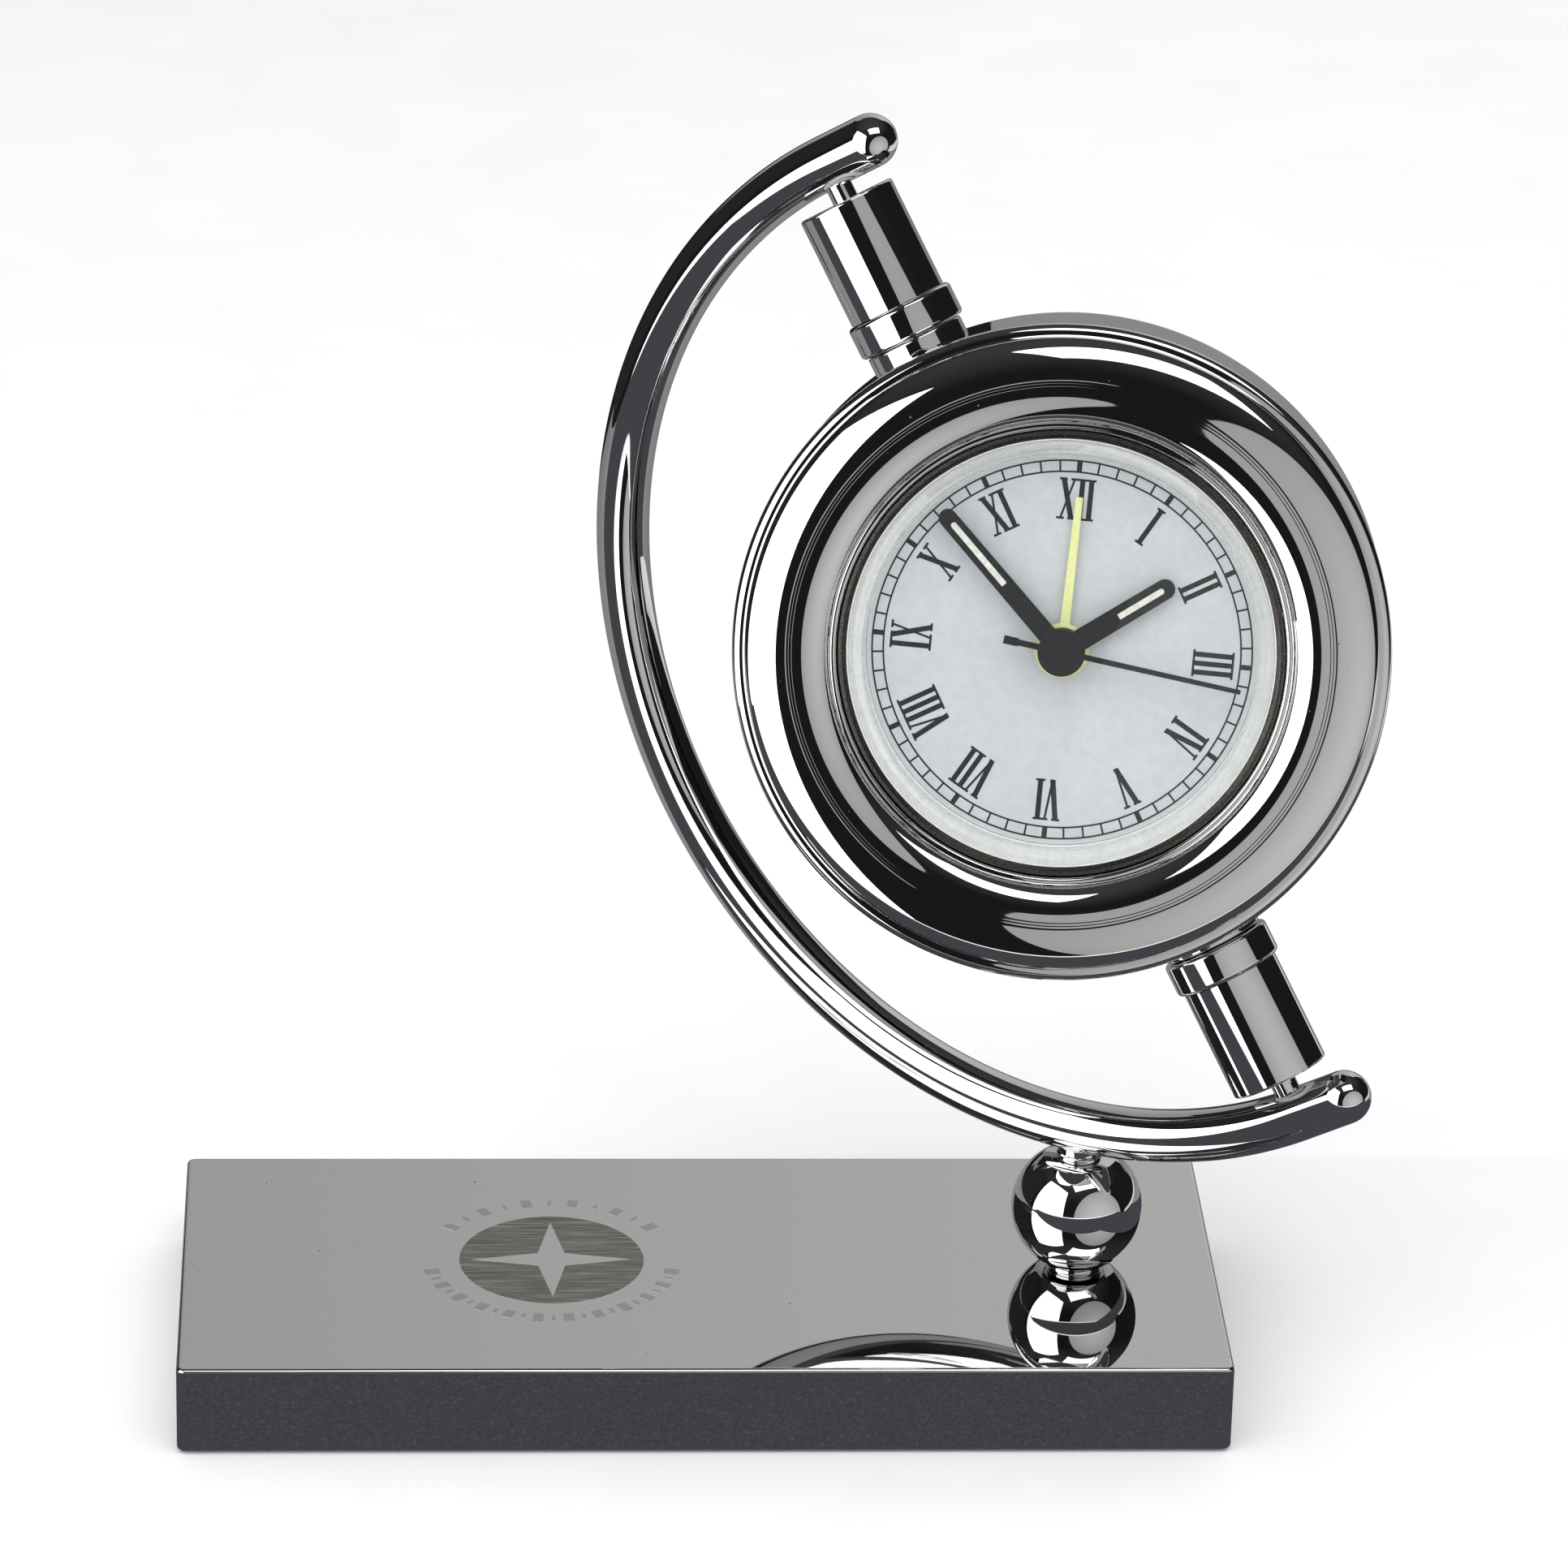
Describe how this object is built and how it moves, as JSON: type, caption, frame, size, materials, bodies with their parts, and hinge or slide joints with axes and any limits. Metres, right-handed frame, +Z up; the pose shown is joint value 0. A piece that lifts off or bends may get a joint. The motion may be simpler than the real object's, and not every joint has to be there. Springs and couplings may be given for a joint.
{
  "type": "swivel desk clock",
  "caption": "Analogue quartz alarm desk clock whose round head swivels on two pins in a C-shaped arm, standing on a ball on a flat rectangular base.",
  "frame": {"origin": "centre of the base at its underside, where it rests", "axes": "+Z up, -Y out of the front of the base, +X to the right, towards the ball"},
  "size_m": [0.1486, 0.0728, 0.1572],
  "materials": {
    "chrome_plate": "mirror-polished chrome plating",
    "felt": "black felt sheet",
    "steel": "bright zinc-plated steel",
    "nylon": "white nylon",
    "black_plastic": "black moulded ABS",
    "acrylic": "clear acrylic",
    "dial_white": "satin white print ground",
    "hand_black": "satin black lacquer",
    "hand_lime": "pale yellow-green lacquer",
    "brass": "turned brass",
    "copper_winding": "enamelled copper wire",
    "circuit_green": "green solder mask"
  },
  "bodies": {
    "base": {"base_block": "chrome_plate", "base_pad": "felt", "ball": "chrome_plate"},
    "arm": {"c_arm": "chrome_plate", "arm_collar": "chrome_plate", "clamp_screw": "steel", "spring_washer": "steel", "upper_pivot_pin": "chrome_plate", "lower_pivot_pin": "chrome_plate"},
    "head": {"case_drum": "chrome_plate", "front_bezel": "chrome_plate", "rear_cover": "chrome_plate", "upper_post_seat": "chrome_plate", "upper_post_collar": "chrome_plate", "upper_post_sleeve": "chrome_plate", "upper_bush": "nylon", "upper_post_screw": "steel", "lower_post_seat": "chrome_plate", "lower_post_collar": "chrome_plate", "lower_post_sleeve": "chrome_plate", "lower_bush": "nylon", "lower_post_screw": "steel", "movement_case": "black_plastic", "lens": "acrylic", "insert_gasket": "black_plastic", "dial": "dial_white", "train_plate": "brass", "stator": "steel", "coil": "copper_winding", "circuit_board": "circuit_green", "timing_chip": "black_plastic", "crystal": "steel", "battery": "steel", "top_contact": "brass", "side_contact": "brass", "buzzer": "black_plastic"},
    "seconds": {"seconds_wheel": "brass", "second_hand": "hand_black", "hub_cap": "hand_black"},
    "minutes": {"minute_wheel": "brass", "minute_hand": "hand_black"},
    "hours": {"hour_wheel": "brass", "hour_hand": "hand_black"},
    "alarm": {"alarm_wheel": "brass", "alarm_hand": "hand_lime"},
    "third": {"third_wheel": "brass"},
    "intermediate": {"intermediate_wheel": "nylon"},
    "motor_rotor": {"rotor": "steel"},
    "time_setting": {"motion_wheel": "brass", "time_set_knob": "black_plastic"},
    "alarm_setting": {"alarm_pinion": "brass", "alarm_set_knob": "black_plastic"},
    "alarm_slider": {"alarm_switch": "nylon"},
    "door": {"battery_door": "black_plastic"}
  },
  "joints": [
    {"name": "arm_swivel", "type": "hinge", "parent": "base", "child": "arm", "pos_m": [0.0474, 0, 0.0195], "axis": [0, 0, 1], "continuous": true},
    {"name": "head_swivel", "type": "hinge", "parent": "arm", "child": "head", "pos_m": [0.04311, 0.00307, 0.09565], "axis": [-0.4511, 0.323, 0.832], "continuous": true},
    {"name": "second_hand_turn", "type": "hinge", "parent": "head", "child": "seconds", "pos_m": [0.04225, -0.00449, 0.09812], "axis": [0.1074, 0.9451, -0.3087], "continuous": true},
    {"name": "minute_hand_turn", "type": "hinge", "parent": "head", "child": "minutes", "pos_m": [0.04225, -0.00449, 0.09812], "axis": [0.1074, 0.9451, -0.3087], "continuous": true},
    {"name": "hour_hand_turn", "type": "hinge", "parent": "head", "child": "hours", "pos_m": [0.04225, -0.00449, 0.09812], "axis": [0.1074, 0.9451, -0.3087], "continuous": true},
    {"name": "third_wheel_turn", "type": "hinge", "parent": "head", "child": "third", "pos_m": [0.04879, -0.00533, 0.09781], "axis": [0.1074, 0.9451, -0.3087], "continuous": true},
    {"name": "intermediate_wheel_turn", "type": "hinge", "parent": "head", "child": "intermediate", "pos_m": [0.04504, -0.00663, 0.09254], "axis": [0.1074, 0.9451, -0.3087], "continuous": true},
    {"name": "rotor_turn", "type": "hinge", "parent": "head", "child": "motor_rotor", "pos_m": [0.04964, -0.00777, 0.09065], "axis": [0.1074, 0.9451, -0.3087], "continuous": true},
    {"name": "time_knob_turn", "type": "hinge", "parent": "head", "child": "time_setting", "pos_m": [0.04275, -0.00268, 0.10382], "axis": [0.1074, 0.9451, -0.3087], "continuous": true},
    {"name": "alarm_hand_turn", "type": "hinge", "parent": "head", "child": "alarm", "pos_m": [0.04225, -0.00449, 0.09812], "axis": [0.1074, 0.9451, -0.3087], "continuous": true},
    {"name": "alarm_knob_turn", "type": "hinge", "parent": "head", "child": "alarm_setting", "pos_m": [0.03649, -0.00438, 0.09643], "axis": [0.1074, 0.9451, -0.3087], "continuous": true},
    {"name": "alarm_switch_slide", "type": "slide", "parent": "head", "child": "alarm_slider", "axis": [0.9907, -0.1278, -0.0465], "range_m": [0, 0.0036]},
    {"name": "battery_door_lift", "type": "slide", "parent": "head", "child": "door", "axis": [0.1074, 0.9451, -0.3087], "range_m": [0, 0.012]}
  ],
  "couplings": [
    {"joint": "minute_hand_turn", "follows": "second_hand_turn", "ratio": 0.016667},
    {"joint": "hour_hand_turn", "follows": "second_hand_turn", "ratio": 0.0013889},
    {"joint": "third_wheel_turn", "follows": "second_hand_turn", "ratio": -0.13333},
    {"joint": "intermediate_wheel_turn", "follows": "second_hand_turn", "ratio": -6},
    {"joint": "rotor_turn", "follows": "second_hand_turn", "ratio": 30},
    {"joint": "time_knob_turn", "follows": "second_hand_turn", "ratio": -0.0055556},
    {"joint": "alarm_knob_turn", "follows": "alarm_hand_turn", "ratio": -3.8333}
  ]
}
